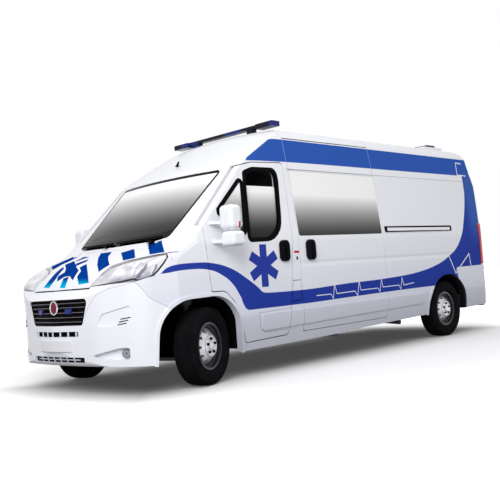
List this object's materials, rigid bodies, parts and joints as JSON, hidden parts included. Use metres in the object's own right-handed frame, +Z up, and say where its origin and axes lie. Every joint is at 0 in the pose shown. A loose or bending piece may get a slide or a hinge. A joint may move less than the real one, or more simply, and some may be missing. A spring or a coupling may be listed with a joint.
{
  "type": "van ambulance",
  "caption": "High-roof van ambulance with hinged front and rear doors, bonnet and filler flap, rolling wheels and a coupled steering gear.",
  "frame": {"origin": "on the ground under the middle of the whole vehicle's box", "axes": "+X forward, +Y to the vehicle's left, +Z up"},
  "size_m": [6.1158, 2.5, 2.4999],
  "materials": {
    "white_paint": "gloss",
    "glass": "gloss",
    "black_plastic": "matt",
    "clear_lens": "gloss",
    "red_lens": "gloss",
    "blue_lens": "gloss",
    "dark_steel": "satin",
    "engine_metal": "matt",
    "trim_grey": "matt",
    "seat_fabric": "matt",
    "wheel_silver": "satin",
    "tyre_rubber": "matt"
  },
  "bodies": {
    "body": {"roof": "white_paint", "cab_frame": "white_paint", "scuttle": "black_plastic", "front_wings": "white_paint", "front_bumper": "white_paint", "grilles": "black_plastic", "front_lamps": "clear_lens", "windscreen": "glass", "body_side_left": "white_paint", "body_side_right": "white_paint", "slide_door_left": "white_paint", "side_windows": "glass", "slide_door_fittings": "black_plastic", "hinges": "dark_steel", "rear_bumper": "white_paint", "rear_step": "dark_steel", "tail_lamps": "red_lens", "light_bars": "blue_lens", "wipers": "black_plastic", "floor_pan": "dark_steel", "arch_liners": "black_plastic", "front_suspension": "dark_steel", "rear_suspension": "dark_steel", "engine_block": "engine_metal", "tank_and_exhaust": "dark_steel", "bulkhead": "trim_grey", "dashboard": "trim_grey", "cab_seats": "seat_fabric"},
    "left_front_door": {"front_door_left": "white_paint", "front_glass_left": "glass", "front_fittings_left": "white_paint"},
    "right_front_door": {"front_door_right": "white_paint", "front_glass_right": "glass", "front_fittings_right": "white_paint"},
    "left_rear_door": {"rear_door_left": "white_paint", "rear_glass_left": "glass"},
    "right_rear_door": {"rear_door_right": "white_paint", "rear_glass_right": "glass"},
    "bonnet_lid": {"bonnet": "white_paint"},
    "filler_flap": {"fuel_flap": "white_paint"},
    "left_knuckle": {"knuckle_left": "dark_steel"},
    "right_knuckle": {"knuckle_right": "dark_steel"},
    "left_front_wheel": {"wheel_front_left": "wheel_silver", "tyre_front_left": "tyre_rubber"},
    "right_front_wheel": {"wheel_front_right": "wheel_silver", "tyre_front_right": "tyre_rubber"},
    "left_rear_wheel": {"wheel_rear_left": "wheel_silver", "tyre_rear_left": "tyre_rubber"},
    "right_rear_wheel": {"wheel_rear_right": "wheel_silver", "tyre_rear_right": "tyre_rubber"},
    "hand_wheel": {"steering_wheel": "black_plastic"}
  },
  "joints": [
    {"name": "left_front_door_hinge", "type": "hinge", "parent": "body", "child": "left_front_door", "pos_m": [2.027, 1.009, 1.067], "axis": [0, 0, -1], "range_deg": [0, 65]},
    {"name": "right_front_door_hinge", "type": "hinge", "parent": "body", "child": "right_front_door", "pos_m": [2.027, -1.009, 1.067], "axis": [0, 0, 1], "range_deg": [0, 65]},
    {"name": "left_rear_door_hinge", "type": "hinge", "parent": "body", "child": "left_rear_door", "pos_m": [-2.923, 0.905, 1.4], "axis": [0, 0, -1], "range_deg": [0, 180]},
    {"name": "right_rear_door_hinge", "type": "hinge", "parent": "body", "child": "right_rear_door", "pos_m": [-2.923, -0.905, 1.4], "axis": [0, 0, 1], "range_deg": [0, 180]},
    {"name": "bonnet_hinge", "type": "hinge", "parent": "body", "child": "bonnet_lid", "pos_m": [2.307, 0, 1.236], "axis": [0, -1, 0], "range_deg": [0, 50]},
    {"name": "filler_flap_hinge", "type": "hinge", "parent": "body", "child": "filler_flap", "pos_m": [0.898, 1.016, 0.75], "axis": [0, 0, 1], "range_deg": [0, 100]},
    {"name": "left_steer", "type": "hinge", "parent": "body", "child": "left_knuckle", "pos_m": [2.147, 0.815, 0.341], "axis": [0, 0, 1], "range_deg": [-53, 17]},
    {"name": "right_steer", "type": "hinge", "parent": "body", "child": "right_knuckle", "pos_m": [2.147, -0.815, 0.341], "axis": [0, 0, 1], "range_deg": [-53, 17]},
    {"name": "left_front_roll", "type": "hinge", "parent": "left_knuckle", "child": "left_front_wheel", "pos_m": [2.11919, 0.9006, 0.341], "axis": [-0.309, 0.9511, 0], "continuous": true},
    {"name": "right_front_roll", "type": "hinge", "parent": "right_knuckle", "child": "right_front_wheel", "pos_m": [2.17481, -0.9006, 0.341], "axis": [-0.309, 0.9511, 0], "continuous": true},
    {"name": "left_rear_roll", "type": "hinge", "parent": "body", "child": "left_rear_wheel", "pos_m": [-1.888, 0.895, 0.341], "axis": [0, 1, 0], "continuous": true},
    {"name": "right_rear_roll", "type": "hinge", "parent": "body", "child": "right_rear_wheel", "pos_m": [-1.888, -0.895, 0.341], "axis": [0, 1, 0], "continuous": true},
    {"name": "hand_wheel_turn", "type": "hinge", "parent": "body", "child": "hand_wheel", "pos_m": [1.662, 0.4, 1.12], "axis": [-0.8, 0, 0.6], "range_deg": [-795, 255]}
  ],
  "couplings": [
    {"joint": "right_steer", "follows": "left_steer", "ratio": 1},
    {"joint": "hand_wheel_turn", "follows": "left_steer", "ratio": 15}
  ]
}
